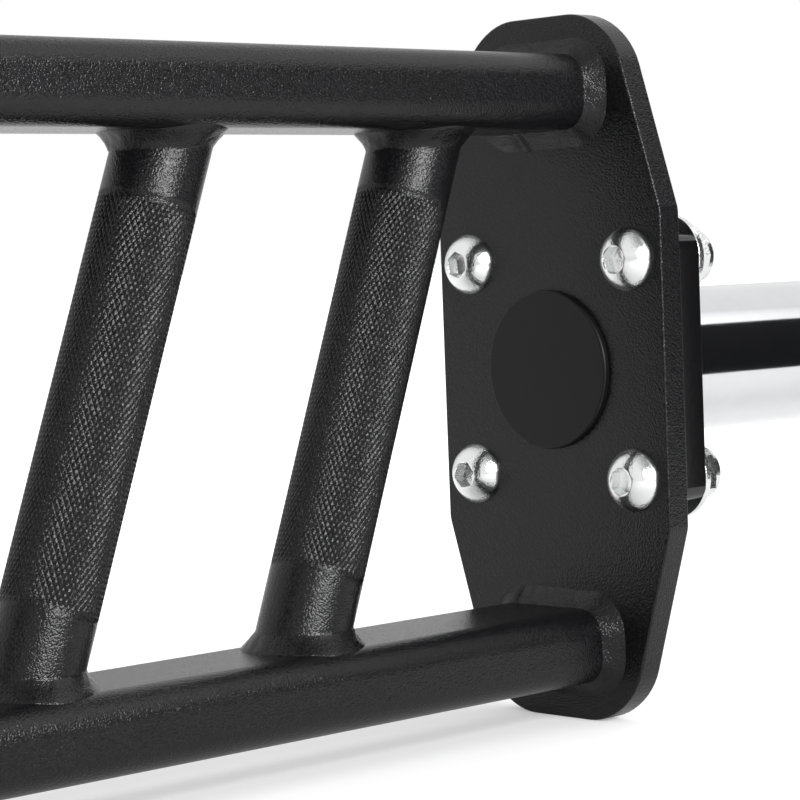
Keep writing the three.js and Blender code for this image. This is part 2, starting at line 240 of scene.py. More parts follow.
def coated_steel(name, colour, dusty_colour, painted_pit_shade_colour, rough, grain, grain_height):
    """Polyester powder coat, baked: fine orange-peel grain that breaks up every highlight. The low spots of
    the grain carry painted shade.
    """
    material, tree = new_material(name)
    where = add(tree, "TexCoord").outputs["Object"]
    patches = add(tree, "TexNoise", {"Vector": where, "Scale": per_metre(28 * mm), "Detail": 3.0})
    grains = add(tree, "TexNoise", {"Vector": where, "Scale": per_metre(grain), "Detail": 1.0})
    pits = add(tree, "TexNoise", {"Vector": where, "Scale": per_metre(2 * grain), "Detail": 1.0})
    dusted = add(tree, "Mix", {
        mix_share: patches.outputs["Fac"],
        mix_first: linear(colour),
        mix_second: linear(dusty_colour),
    }, data_type="RGBA")
    # Painted shade: where the grain is low, as in the bump's pits, the colour is mixed towards a darker one
    painted_pit_shade = add(tree, "MapRange", {
        "Value": grains.outputs["Fac"],
        "From Min": 0.35,
        "From Max": 0.65,
        "To Min": 1.0,
        "To Max": 0.0,
    })
    tone = add(tree, "Mix", {
        mix_share: painted_pit_shade.outputs["Result"],
        mix_first: dusted.outputs[mix_result],
        mix_second: linear(painted_pit_shade_colour),
    }, data_type="RGBA")
    gloss = add(tree, "MapRange", {
        "Value": grains.outputs["Fac"],
        "To Min": rough - 0.05,
        "To Max": rough + 0.06,
    })
    fine = add(tree, "Bump", {"Height": grains.outputs["Fac"], "Strength": 1.0, "Distance": grain_height})
    coarse = add(tree, "Bump", {
        "Height": pits.outputs["Fac"],
        "Strength": 0.5,
        "Distance": 0.15 * grain_height,
        "Normal": fine.outputs["Normal"],
    })
    shader = add(tree, "BsdfPrincipled", {
        "Base Color": tone.outputs[mix_result],
        "Roughness": gloss.outputs["Result"],
        "IOR": 1.5,
        "Specular IOR Level": 0.28,
        "Normal": coarse.outputs["Normal"],
    })
    add(tree, "OutputMaterial", {"Surface": shader.outputs["BSDF"]})
    return material


def gloss_enamel(name, colour, dusty_colour, rough):
    """Stoved gloss enamel: smooth and deep black, with a trace of orange peel."""
    material, tree = new_material(name)
    where = add(tree, "TexCoord").outputs["Object"]
    peel = add(tree, "TexNoise", {"Vector": where, "Scale": per_metre(2.4 * mm), "Detail": 2.0})
    dust = add(tree, "TexNoise", {"Vector": where, "Scale": per_metre(0.7 * mm), "Detail": 4.0})
    tone = add(tree, "Mix", {
        mix_share: dust.outputs["Fac"],
        mix_first: linear(colour),
        mix_second: linear(dusty_colour),
    }, data_type="RGBA")
    gloss = add(tree, "MapRange", {"Value": dust.outputs["Fac"], "To Min": rough, "To Max": rough + 0.12})
    bump = add(tree, "Bump", {"Height": peel.outputs["Fac"], "Strength": 0.25, "Distance": 0.05 * mm})
    shader = add(tree, "BsdfPrincipled", {
        "Base Color": tone.outputs[mix_result],
        "Roughness": gloss.outputs["Result"],
        "IOR": 1.5,
        "Normal": bump.outputs["Normal"],
    })
    add(tree, "OutputMaterial", {"Surface": shader.outputs["BSDF"]})
    return material


def moulded_plastic(name, colour, pale_colour, rough):
    """Injection-moulded polypropylene, spark-eroded tool finish: an even satin black."""
    material, tree = new_material(name)
    where = add(tree, "TexCoord").outputs["Object"]
    spark = add(tree, "TexNoise", {"Vector": where, "Scale": per_metre(0.35 * mm), "Detail": 2.0})
    flow = add(tree, "TexNoise", {"Vector": where, "Scale": per_metre(18 * mm), "Detail": 2.0})
    tone = add(tree, "Mix", {
        mix_share: flow.outputs["Fac"],
        mix_first: linear(colour),
        mix_second: linear(pale_colour),
    }, data_type="RGBA")
    gloss = add(tree, "MapRange", {
        "Value": flow.outputs["Fac"],
        "To Min": rough - 0.05,
        "To Max": rough + 0.07,
    })
    bump = add(tree, "Bump", {"Height": spark.outputs["Fac"], "Strength": 0.3, "Distance": 0.02 * mm})
    shader = add(tree, "BsdfPrincipled", {
        "Base Color": tone.outputs[mix_result],
        "Roughness": gloss.outputs["Result"],
        "IOR": 1.49,
        "Specular IOR Level": 0.2,
        "Normal": bump.outputs["Normal"],
    })
    add(tree, "OutputMaterial", {"Surface": shader.outputs["BSDF"]})
    return material


def plated_metal(name, colour, worn_colour, rough, smear, ripple_size, ripple_height):
    """Bright plating over ground or forged steel: a mirror with faint haze and slight waves."""
    material, tree = new_material(name)
    where = add(tree, "TexCoord").outputs["Object"]
    haze = add(tree, "TexNoise", {
        "Vector": where,
        "Scale": per_metre(9 * mm),
        "Detail": 4.0,
        "Roughness": 0.6,
    })
    wave = add(tree, "TexNoise", {"Vector": where, "Scale": per_metre(ripple_size), "Detail": 3.0})
    tone = add(tree, "Mix", {
        mix_share: haze.outputs["Fac"],
        mix_first: linear(colour),
        mix_second: linear(worn_colour),
    }, data_type="RGBA")
    gloss = add(tree, "MapRange", {"Value": haze.outputs["Fac"], "To Min": rough, "To Max": rough + smear})
    bump = add(tree, "Bump", {"Height": wave.outputs["Fac"], "Strength": 1.0, "Distance": ripple_height})
    shader = add(tree, "BsdfPrincipled", {
        "Base Color": tone.outputs[mix_result],
        "Metallic": 1.0,
        "Roughness": gloss.outputs["Result"],
        "Normal": bump.outputs["Normal"],
    })
    add(tree, "OutputMaterial", {"Surface": shader.outputs["BSDF"]})
    return material


def turned_metal(name, colour, oiled_colour, rough):
    """Bare machined metal, lightly oiled: fine turning rings across the axis of the bar."""
    material, tree = new_material(name)
    where = add(tree, "TexCoord").outputs["Object"]
    rings = add(tree, "TexWave", {
        "Vector": where,
        "Scale": per_metre(3 * mm),
        "Distortion": 1.5,
        "Detail": 2.0,
    }, bands_direction="X")
    film = add(tree, "TexNoise", {"Vector": where, "Scale": per_metre(6 * mm), "Detail": 3.0})
    tone = add(tree, "Mix", {
        mix_share: film.outputs["Fac"],
        mix_first: linear(colour),
        mix_second: linear(oiled_colour),
    }, data_type="RGBA")
    gloss = add(tree, "MapRange", {"Value": film.outputs["Fac"], "To Min": rough, "To Max": rough + 0.15})
    bump = add(tree, "Bump", {"Height": rings.outputs["Fac"], "Strength": 0.3, "Distance": 0.02 * mm})
    shader = add(tree, "BsdfPrincipled", {
        "Base Color": tone.outputs[mix_result],
        "Metallic": 1.0,
        "Roughness": gloss.outputs["Result"],
        "Normal": bump.outputs["Normal"],
    })
    add(tree, "OutputMaterial", {"Surface": shader.outputs["BSDF"]})
    return material


# Painted shade darkens small pits all over. The real grain is finer, and is drawn at 0.6 mm so that it
# shows.
powder_coat = coated_steel(
    "black powder coat on steel",
    colour="#121213",
    dusty_colour="#18181a",
    painted_pit_shade_colour="#070708",
    rough=0.2,
    grain=0.61 * mm,
    grain_height=0.215 * mm,
)
# It flows out level in the oven, so it mirrors the room as a deep, clean black
enamel = gloss_enamel("gloss enamel on the flange", "#080809", "#0e0e0f", 0.08)
# Moulded against an eroded tool, so its highlights are broad and soft
satin_plastic = moulded_plastic("satin moulded polypropylene", "#0c0c0d", "#131314", 0.36)
# Ground before plating, so its waves are long and low
chrome_plate = plated_metal(
    "hard chrome plate",
    colour="#e9ebec",
    worn_colour="#dfe1e2",
    rough=0.06,
    smear=0.06,
    ripple_size=14 * mm,
    ripple_height=0.01 * mm,
)
# Plated over a forged head, so reflections look mottled
bright_zinc = plated_metal(
    "bright zinc plate",
    colour="#f4f5f4",
    worn_colour="#e6e8e8",
    rough=0.12,
    smear=0.14,
    ripple_size=0.9 * mm,
    ripple_height=0.1 * mm,
)
# Bored and turned, so a dull gold with faint rings
bearing_bronze = turned_metal("bearing bronze", "#b07a45", "#94642f", 0.3)
# Grey steel under an oil film, so its shine is soft and patchy
spring_steel = turned_metal("oiled spring steel", "#8f9396", "#74787b", 0.3)

looks = {
    "frame_paint": powder_coat,
    "flange_gloss": enamel,
    "cap_plastic": satin_plastic,
    "sleeve_chrome": chrome_plate,
    "bolt_zinc": bright_zinc,
    "bushing_bronze": bearing_bronze,
    "plain_steel": spring_steel,
}


# Mesh helpers

def new_piece(name, bm, slot, node, body="frame", soft_normals=True, sharp_angle=40):
    """Makes the mesh one smooth-shaded object that rides on its body and stands for its node."""
    mesh = bpy.data.meshes.new(name)
    bm.to_mesh(mesh)
    bm.free()
    for face in mesh.polygons:
        face.use_smooth = True
    mesh.set_sharp_from_angle(angle=math.radians(sharp_angle))
    mesh.materials.append(looks[slot])
    piece = bpy.data.objects.new(name, mesh)
    bpy.context.scene.collection.objects.link(piece)
    if soft_normals:
        weighted = piece.modifiers.new("flat faces stay flat", "WEIGHTED_NORMAL")
        weighted.keep_sharp = True
    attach(piece, body)
    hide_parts(node)
    return piece


def to_side(bm, side):
    """The left half of the bar is the right half turned about the upright axis."""
    if side == "left":
        bmesh.ops.rotate(bm, verts=bm.verts, cent=(0, 0, 0), matrix=Matrix.Rotation(math.pi, 3, "Z"))


def ease_corners(bm, corners, segments):
    """Rounds corners of a wire or face. corners pairs each vertex with its radius."""
    for vert, radius in corners:
        ends = [edge.other_vert(vert).co - vert.co for edge in vert.link_edges]
        turn = math.pi - ends[0].angle(ends[1])
        bmesh.ops.bevel(
            bm,
            geom=[vert],
            offset=radius * math.tan(turn / 2),
            offset_type="OFFSET",
            segments=segments,
            profile=0.5,
            material=-1,
            affect="VERTICES",
            clamp_overlap=False,
        )


def turned(profile, segments, closed=True, bm=None, round_steps=4):
    """Turns a profile about the bar's axis. A point is (radius, x) or (radius, x, corner radius)."""
    made = bmesh.new()
    verts = [made.verts.new((point[1], 0, point[0])) for point in profile]
    for first, second in zip(verts, verts[1:]):
        made.edges.new((first, second))
    if closed:
        made.edges.new((verts[-1], verts[0]))
    ease_corners(made, [(v, p[2]) for v, p in zip(verts, profile) if len(p) > 2], round_steps)
    bmesh.ops.spin(
        made,
        geom=made.verts[:] + made.edges[:],
        cent=(0, 0, 0),
        axis=(1, 0, 0),
        dvec=(0, 0, 0),
        angle=full_turn,
        steps=segments,
        use_merge=True,
        use_normal_flip=False,
        use_duplicate=False,
    )
    bmesh.ops.remove_doubles(made, verts=made.verts, dist=merge_gap)
    bmesh.ops.recalc_face_normals(made, faces=made.faces)
    if bm is None:
        return made
    join_into(bm, made)
    return bm


def join_into(bm, other):
    """Adds another mesh's faces to bm."""
    passing = bpy.data.meshes.new("passing")
    other.to_mesh(passing)
    other.free()
    bm.from_mesh(passing)
    bpy.data.meshes.remove(passing)


def shifted(bm, y, z):
    bmesh.ops.translate(bm, verts=bm.verts, vec=(0, y, z))
    return bm


def flat_plate(corners, holes, start, thickness, ease, round_steps):
    """A plate square to the bar, with eased rims. Each corner and each hole is (y, z, radius)."""
    bm = bmesh.new()
    verts = [bm.verts.new((start, y, z)) for y, z, radius in corners]
    bm.faces.new(verts)
    ease_corners(bm, [(v, c[2]) for v, c in zip(verts, corners)], round_steps)
    bmesh.ops.delete(bm, geom=bm.faces[:], context="FACES_ONLY")
    for y, z, radius in holes:
        place = Matrix.Translation((start, y, z)) @ Matrix.Rotation(math.pi / 2, 4, "Y")
        bmesh.ops.create_circle(bm, cap_ends=False, segments=small_segments, radius=radius, matrix=place)
    bmesh.ops.triangle_fill(bm, use_beauty=True, use_dissolve=False, edges=bm.edges[:], normal=(1, 0, 0))
    grown = bmesh.ops.extrude_face_region(bm, geom=bm.faces[:])["geom"]
    moved = [item for item in grown if isinstance(item, bmesh.types.BMVert)]
    bmesh.ops.translate(bm, verts=moved, vec=(thickness, 0, 0))
    bmesh.ops.recalc_face_normals(bm, faces=bm.faces)
    rims = [edge for edge in bm.edges if len(edge.link_faces) == 2 and edge.calc_face_angle() > 1]
    bmesh.ops.bevel(
        bm,
        geom=rims,
        offset=ease,
        offset_type="OFFSET",
        segments=ease_steps,
        profile=0.5,
        material=-1,
        affect="EDGES",
        clamp_overlap=False,
    )
    return bm


def extend_ring(bm, ring, place):
    """Pulls a new ring of edges from an open one and sets each new corner by its place around the ring."""
    around = bm.verts.layers.float["around"]
    grown = bmesh.ops.extrude_edge_only(bm, edges=ring)["geom"]
    verts = {item for item in grown if isinstance(item, bmesh.types.BMVert)}
    for vert in verts:
        vert.co = place(vert[around])
    return [
        item
        for item in grown
        if isinstance(item, bmesh.types.BMEdge) and item.verts[0] in verts and item.verts[1] in verts
    ]


def ring_tube(places, segments):
    """A tube through rings: each place gives a corner for an angle about the axis of the bar."""
    bm = bmesh.new()
    around = bm.verts.layers.float.new("around")
    first = bmesh.ops.create_circle(bm, cap_ends=False, segments=segments, radius=1)["verts"]
    for vert in first:
        vert[around] = math.atan2(vert.co.y, vert.co.x)
        vert.co = places[0](vert[around])
    ring = bm.edges[:]
    for place in places[1:]:
        ring = extend_ring(bm, ring, place)
    return bm, ring


def open_rims(bm, found=()):
    """The open edges of a mesh, without those found already."""
    return [edge for edge in bm.edges if len(edge.link_faces) == 1 and edge not in found]


def wander(seed, angle, spread, across):
    """A smooth random value from -1 to 1 that closes round a ring. spread is the ring's radius in waves."""
    spot = Vector((math.cos(angle) * spread, math.sin(angle) * spread, across))
    return noise.noise(spot + Vector((seed * seed_apart_x, seed * seed_apart_y, 0)))


def bead_waves(kinds, seed, angle, share):
    """The value of each kind of wave at one place on a bead. share runs from its toe to its foot."""
    return {
        kind: wander(seed + step, angle, spread, across * share)
        for kind, (step, spread, across) in kinds.items()
    }


def uneven(shares, waves, start=1):
    """Adds to start the share of each kind of wave."""
    return sum((share * waves[kind] for kind, share in shares.items()), start)


# Rails

def make_rail(name):
    middle = rail_height[name]
    bm = bmesh.new()
    corners = [
        bm.verts.new((-rail_half_length, y * rail_half_width, middle + z * rail_half_thickness))
        for y, z in ((1, -1), (1, 1), (-1, 1), (-1, -1))
    ]
    bm.faces.new(corners)
    ease_corners(bm, [(corner, rail_corner_radius) for corner in corners], rail_corner_steps)
    bore = bm.faces[:]
    bmesh.ops.inset_region(bm, faces=bore, use_boundary=True, use_even_offset=True, thickness=rail_wall)
    bmesh.ops.delete(bm, geom=bore, context="FACES")
    grown = bmesh.ops.extrude_face_region(bm, geom=bm.faces[:])["geom"]
    moved = [item for item in grown if isinstance(item, bmesh.types.BMVert)]
    bmesh.ops.translate(bm, verts=moved, vec=(2 * rail_half_length, 0, 0))
    bmesh.ops.recalc_face_normals(bm, faces=bm.faces)
    new_piece(f"powder_coated_{name}_rail", bm, "frame_paint", f"{name}_rail")


# Grips: a knurl rolled up from flat diamonds, two smooth necks, and a weld bead at each rail

def knurl_flat():
    """The knurl before it is rolled up: X runs round the grip, Z along it, and -Y stands out."""
    bm = bmesh.new()
    width = full_turn * grip_radius / knurl_starts
    height = 2 * knurl_length / (knurl_rows + 1)

    def copies(step, count):
        bmesh.ops.spin(
            bm,
            geom=bm.verts[:] + bm.edges[:] + bm.faces[:],
            cent=(0, 0, 0),
            axis=(0, 0, 1),
            dvec=step,
            angle=0,
            steps=count,
            use_merge=False,
            use_normal_flip=False,
            use_duplicate=True,
        )

    corners = ((0, 0), (width / 2, height / 2), (0, height), (-width / 2, height / 2))
    bm.faces.new([bm.verts.new((x, knurl_depth, z)) for x, z in corners])
    bm.normal_update()
    bmesh.ops.inset_individual(
        bm,
        faces=bm.faces[:],
        thickness=knurl_flank,
        depth=knurl_depth,
        use_even_offset=True,
    )
    copied = bmesh.ops.duplicate(bm, geom=bm.verts[:] + bm.edges[:] + bm.faces[:])["geom"]
    second = [item for item in copied if isinstance(item, bmesh.types.BMVert)]
    bmesh.ops.translate(bm, verts=second, vec=(width / 2, 0, height / 2))
    copies((0, 0, height), (knurl_rows - 1) // 2)
    for foot, tip in ((0, height / 2), (knurl_length, knurl_length - height / 2)):
        ends = [(0, foot), (width, foot), (width / 2, tip)]
        if foot > tip:
            ends = [ends[1], ends[0], ends[2]]
        bm.faces.new([bm.verts.new((x, knurl_depth, z)) for x, z in ends])
    copies((width, 0, 0), knurl_starts - 1)
    return bm


def rolled_knurl():
    """Rolls the flat knurl round the grip's own axis. Both ends stay open, as plain rings."""
    bm = knurl_flat()
    top = knurl_length + merge_gap
    past_end = [face for face in bm.faces if any(vert.co.z > top for vert in face.verts)]
    surplus = {vert for face in past_end for vert in face.verts}
    bmesh.ops.delete(bm, geom=list(surplus), context="VERTS")
    bmesh.ops.remove_doubles(bm, verts=bm.verts, dist=merge_gap)
    rims = [edge for edge in open_rims(bm) if abs(edge.verts[0].co.z - edge.verts[1].co.z) < merge_gap]
    middles = bmesh.ops.subdivide_edges(bm, edges=rims, cuts=1)["geom_inner"]
    for item in middles:
        if isinstance(item, bmesh.types.BMVert):
            item.co.y = 0
    around = bm.verts.layers.float.new("around")
    for vert in bm.verts:
        angle = vert.co.x / grip_radius
        radius = grip_radius - vert.co.y
        vert[around] = angle
        vert.co = (radius * math.sin(angle), -radius * math.cos(angle), vert.co.z - knurl_length / 2)
    bmesh.ops.remove_doubles(bm, verts=bm.verts, dist=merge_gap)
    return bm


knurl_mesh = bpy.data.meshes.new("rolled knurl")
knurl_work = rolled_knurl()
knurl_work.to_mesh(knurl_mesh)
knurl_work.free()


def weld_place(name, share, seed):
    """One ring of a grip's bead: share 0 is its toe on the grip, and 1 its foot on the rail."""
    upwards = 1 if name == "upper" else -1
    near_face = rail_height[name] - bar_height - upwards * rail_half_thickness
    flat = rail_half_width - rail_corner_radius
    half_x = grip_radius / math.cos(grip_tilt)
    full = min(share, 1)

    def place(angle):
        waves = bead_waves(grip_waves, seed, angle, full)
        toe = near_face - upwards * grip_weld_leg * uneven(grip_toe_shares, waves)
        bulge = math.sin(math.pi * full) ** grip_weld_fullness
        crown = grip_weld_crown * bulge * uneven(grip_crown_shares, waves)
        open_side = max(upwards * math.sin(angle), 0)
        flare = full ** grip_weld_hollow * uneven(grip_flare_shares, waves)
        reach = grip_weld_reach * flare * (1 - grip_weld_open_cut * open_side ** 2) + crown
        y = -math.cos(angle) * (grip_radius + reach)
        over = min(max(abs(y) - flat, 0), rail_corner_radius)
        skin = near_face + upwards * (rail_corner_radius - math.sqrt(rail_corner_radius ** 2 - over ** 2))
        z = toe + (skin - toe) * full
        if share > 1:
            z += upwards * weld_sink * 2
        return Vector((math.sin(angle) * (half_x + reach) + z * math.tan(grip_tilt), y, z))

    return place


def neck_place(height):
    """One ring of a grip's smooth neck."""
    def place(angle):
        return Vector((grip_radius * math.sin(angle), -grip_radius * math.cos(angle), height))
    return place


def make_grip(side, number):
    bm = bmesh.new()
    bm.from_mesh(knurl_mesh)
    tilt = Matrix.Rotation(grip_tilt, 4, "Y")
    untilt = tilt.inverted()
    seed = number + (left_grip_seed if side == "left" else 0)
    for name, upwards in (("upper", 1), ("lower", -1)):
        end = upwards * knurl_length / 2
        rim = [edge for edge in open_rims(bm) if all(abs(v.co.z - end) < merge_gap for v in edge.verts)]
        for run in (knurl_run_out, knurl_run_out + neck_ring_gap):
            rim = extend_ring(bm, rim, neck_place(end + upwards * run))
        bead_seed = seed + (upper_weld_seed if upwards > 0 else 0)
        toe = weld_place(name, 0, bead_seed)
        before_toe = Vector((0, 0, upwards * neck_ring_gap))
        rim = extend_ring(bm, rim, lambda angle: untilt @ toe(angle) - before_toe)
        for step in range(weld_steps + 2):
            place = weld_place(name, step / weld_steps, bead_seed)
            rim = extend_ring(bm, rim, lambda angle: untilt @ place(angle))
        bmesh.ops.edgeloop_fill(bm, edges=rim)
    bmesh.ops.transform(bm, matrix=tilt, verts=bm.verts)
    bmesh.ops.recalc_face_normals(bm, faces=bm.faces)
    x = first_grip + (number - 1) * grip_pitch
    bmesh.ops.translate(bm, verts=bm.verts, vec=(x, 0, bar_height))
    to_side(bm, side)
    new_piece(
        f"knurled_grip_{side}_{number}",
        bm,
        "frame_paint",
        f"grip_{side}_{number}",
        soft_normals=False,
        sharp_angle=50,
    )


# End plates with the beads that hold the rails

def rail_skin(turn, out):
    """A point (y, z) out from the skin of a rail. turn is the share of the way round it."""
    flat_y = rail_half_width - rail_corner_radius
    flat_z = rail_half_thickness - rail_corner_radius
    bend = math.pi / 2 * rail_corner_radius
    quarter, gone = divmod(turn % 1 * 4, 1)
    gone *= flat_y + bend + flat_z
    if quarter in (1, 3):
        gone = flat_y + bend + flat_z - gone
    angle = min(max((gone - flat_z) / rail_corner_radius, 0), math.pi / 2)
    y = flat_y + (rail_corner_radius + out) * math.cos(angle) - max(gone - flat_z - bend, 0)
    z = min(gone, flat_z) + (rail_corner_radius + out) * math.sin(angle)
    return (-y if quarter in (1, 2) else y), (-z if quarter > 1 else z)


def rail_weld(name, seed):
    """A fillet bead round a rail's end, with a lump and a notch where the welder stopped."""
    round_length = 4 * (rail_half_width + rail_half_thickness) - (8 - full_turn) * rail_corner_radius
    stop_width = rail_weld_stop_width[name]

    def ring_at(share, sink_out, sink_back):
        bulge = math.sin(math.pi * share) ** rail_weld_fullness

        def place(angle):
            turn = angle / full_turn
            apart = ((turn - rail_weld_stop[name] + 0.5) % 1 - 0.5) * round_length
            notch = math.exp(-((apart - stop_width) / rail_weld_notch_width) ** 2)
            waves = bead_waves(rail_waves, seed, angle, share)
            waves["stop"] = math.exp(-(apart / stop_width) ** 2) - notch
            size = uneven(rail_size_shares, waves)
            leg = rail_weld_leg * size
            crown = rail_weld_slant * (rail_weld_crown * bulge * uneven(rail_crown_shares, waves, size))
            out = leg * share ** rail_weld_hollow + crown - sink_out
            back = leg * (1 - share) ** rail_weld_hollow + crown - sink_back
            return Vector((plate_inner - back, *rail_skin(turn, out)))

        return place

    places = [ring_at(0, weld_sink, 0)]
    places += [ring_at(step / weld_steps, 0, 0) for step in range(weld_steps + 1)]
    places.append(ring_at(1, 0, weld_sink))
    bm, last = ring_tube(places, rail_weld_segments)
    first = open_rims(bm, last)
    bmesh.ops.bridge_loops(bm, edges=first + last)
    bmesh.ops.recalc_face_normals(bm, faces=bm.faces)
    return shifted(bm, 0, rail_height[name])


def make_end_plate(side):
    tip = plate_tip_width / 2
    shoulder = plate_shoulder_span / 2
    corners = [
        (plate_half_width, -shoulder, plate_shoulder_radius),
        (plate_half_width, shoulder, plate_shoulder_radius),
        (tip, plate_half_height, plate_corner_radius),
        (-tip, plate_half_height, plate_corner_radius),
    ]
    corners += [(-y, -z, radius) for y, z, radius in corners]
    holes = [(0, 0, plate_hole_radius)]
    holes += [(place.y, place.z - bar_height, bolt_hole_radius) for place in bolt_places]
    thickness = plate_outer - plate_inner
    bm = flat_plate(corners, holes, plate_inner, thickness, plate_edge_ease, plate_corner_steps)
    shifted(bm, 0, bar_height)
    for index, name in enumerate(("upper", "lower")):
        join_into(bm, rail_weld(name, first_rail_seed + index))
    to_side(bm, side)
    new_piece(f"powder_coated_end_plate_{side}", bm, "frame_paint", f"end_plate_{side}")


def make_cap(side):
    radius = cap_high.y
    bm = turned([
        (0, cap_low.x),
        (radius, cap_low.x, cap_edge_round),
        (radius, plate_inner),
        (cap_spigot_radius, plate_inner),
        (cap_spigot_radius, cap_high.x),
        (cap_spigot_radius - cap_spigot_wall, cap_high.x),
        (cap_spigot_radius - cap_spigot_wall, plate_inner),
        (0, plate_inner),
    ], round_segments, closed=False)
    shifted(bm, 0, bar_height)
    to_side(bm, side)
    new_piece(f"moulded_centre_cap_{side}", bm, "cap_plastic", f"centre_cap_{side}")


# Sleeve mount: the flange and its axle

def make_sleeve_mount(side):
    corners = [
        (y * flange_half_width, z * flange_half_height, flange_corner_radius)
        for y, z in ((1, -1), (1, 1), (-1, 1), (-1, -1))
    ]
    holes = [(place.y, place.z - bar_height, flange_hole_radius) for place in bolt_places]
    thickness = flange_outer - plate_outer
    bm = flat_plate(corners, holes, plate_outer, thickness, flange_edge_ease, flange_corner_steps)
    turned([
        (0, plate_outer),
        (axle_radius, plate_outer),
        (axle_radius, mount_high.x, axle_chamfer),
        (0, mount_high.x),
    ], small_segments, closed=False, bm=bm)
    shifted(bm, 0, bar_height)
    to_side(bm, side)
    new_piece(f"enamelled_sleeve_mount_{side}", bm, "flange_gloss", f"sleeve_mount_{side}")


# Fasteners

def bolt_head_profile():
    """Half section of the domed head, from the edge of its flat crown to the shank."""
    radius = (bolt_high.z - bolt_low.z) / 2
    rise = plate_inner - bolt_low.x - bolt_head_land
    drop = (radius ** 2 - bolt_crown_radius ** 2 - rise ** 2) / (2 * rise)
    dome = math.hypot(radius, drop)
    first = math.atan2(rise + drop, bolt_crown_radius)
    last = math.atan2(drop, radius)
    arc = []
    for i in range(bolt_dome_steps + 1):
        angle = first + (last - first) * i / bolt_dome_steps
        arc.append((dome * math.cos(angle), plate_inner + drop - bolt_head_land - dome * math.sin(angle)))
    return [(socket_mouth, bolt_low.x), *arc, (radius, plate_inner), (bolt_radius, plate_inner)]


def bolt_socket(bm):
    """Closes the crown with a hexagon socket that ends in a drilled cone."""
    mouth = [edge for edge in open_rims(bm) if edge.verts[0].co.x < plate_inner]
    corner = socket_width / math.sqrt(3)
    lip = bolt_low.x + socket_lip
    turn_in = Matrix.Translation((lip, 0, 0)) @ Matrix.Rotation(math.pi / 2, 4, "Y")
    bmesh.ops.create_circle(bm, cap_ends=False, segments=6, radius=corner, matrix=turn_in)
    hexagon = [edge for edge in bm.edges if not edge.link_faces]
    bmesh.ops.bridge_loops(bm, edges=mouth + hexagon)
    grown = bmesh.ops.extrude_edge_only(bm, edges=hexagon)["geom"]
    floor_verts = [item for item in grown if isinstance(item, bmesh.types.BMVert)]
    bmesh.ops.translate(bm, verts=floor_verts, vec=(socket_depth, 0, 0))
    floor_edges = [
        item
        for item in grown
        if isinstance(item, bmesh.types.BMEdge) and all(v in floor_verts for v in item.verts)
    ]
    filled = bmesh.ops.edgeloop_fill(bm, edges=floor_edges)["faces"]
    bmesh.ops.inset_individual(bm, faces=filled, thickness=socket_floor_land, depth=0)
    bmesh.ops.poke(bm, faces=filled, offset=-socket_cone)


def bolt_thread():
    """The threaded shank, a helix that runs out at the chamfered end."""
    start = plate_inner
    end = bolt_high.x
    plain = end - thread_turns * thread_pitch
    core = bolt_radius - thread_depth
    levels = [start, plain - thread_run_in]
    steps = thread_turns * thread_turn_steps
    levels += [plain + (end - plain) * i / steps for i in range(steps + 1)]

    def ring_at(x):
        def place(angle):
            if x < plain:
                radius = bolt_radius
            else:
                phase = ((x - plain) / thread_pitch - angle / full_turn) % 1
                height = thread_crest - thread_flank * abs(phase - 0.5)
                radius = core + thread_depth * min(1, max(0, height))
                radius = min(radius, core + (end - x) + thread_tip_land)
            return Vector((x, radius * math.cos(angle), radius * math.sin(angle)))
        return place

    bm, last = ring_tube([ring_at(x) for x in levels], thread_segments)
    first = open_rims(bm, last)
    bmesh.ops.edgeloop_fill(bm, edges=last)
    bmesh.ops.edgeloop_fill(bm, edges=first)
    bmesh.ops.recalc_face_normals(bm, faces=bm.faces)
    return bm


def make_bolt(side, number):
    place = bolt_places[number - 1]
    bm = turned(bolt_head_profile() + [(0, plate_inner)], small_segments, closed=False)
    bolt_socket(bm)
    bmesh.ops.recalc_face_normals(bm, faces=bm.faces)
    join_into(bm, bolt_thread())
    spin = Matrix.Rotation(math.radians(bolt_turns[number - 1]), 3, "X")
    bmesh.ops.rotate(bm, verts=bm.verts, cent=(0, 0, 0), matrix=spin)
    shifted(bm, place.y, place.z)
    to_side(bm, side)
    new_piece(f"button_head_bolt_{side}_{number}", bm, "bolt_zinc", f"bolt_{side}_{number}", sharp_angle=28)


def make_washer(side, number):
    place = bolt_places[number - 1]
    outer = (washer_high.z - washer_low.z) / 2
    bm = turned([
        (bolt_hole_radius, washer_low.x),
        (outer, washer_low.x, ring_ease),
        (outer, washer_high.x, ring_ease),
        (bolt_hole_radius, washer_high.x),
    ], small_segments)
    shifted(bm, place.y, place.z)
    to_side(bm, side)
    new_piece(f"plain_washer_{side}_{number}", bm, "bolt_zinc", f"washer_{side}_{number}")


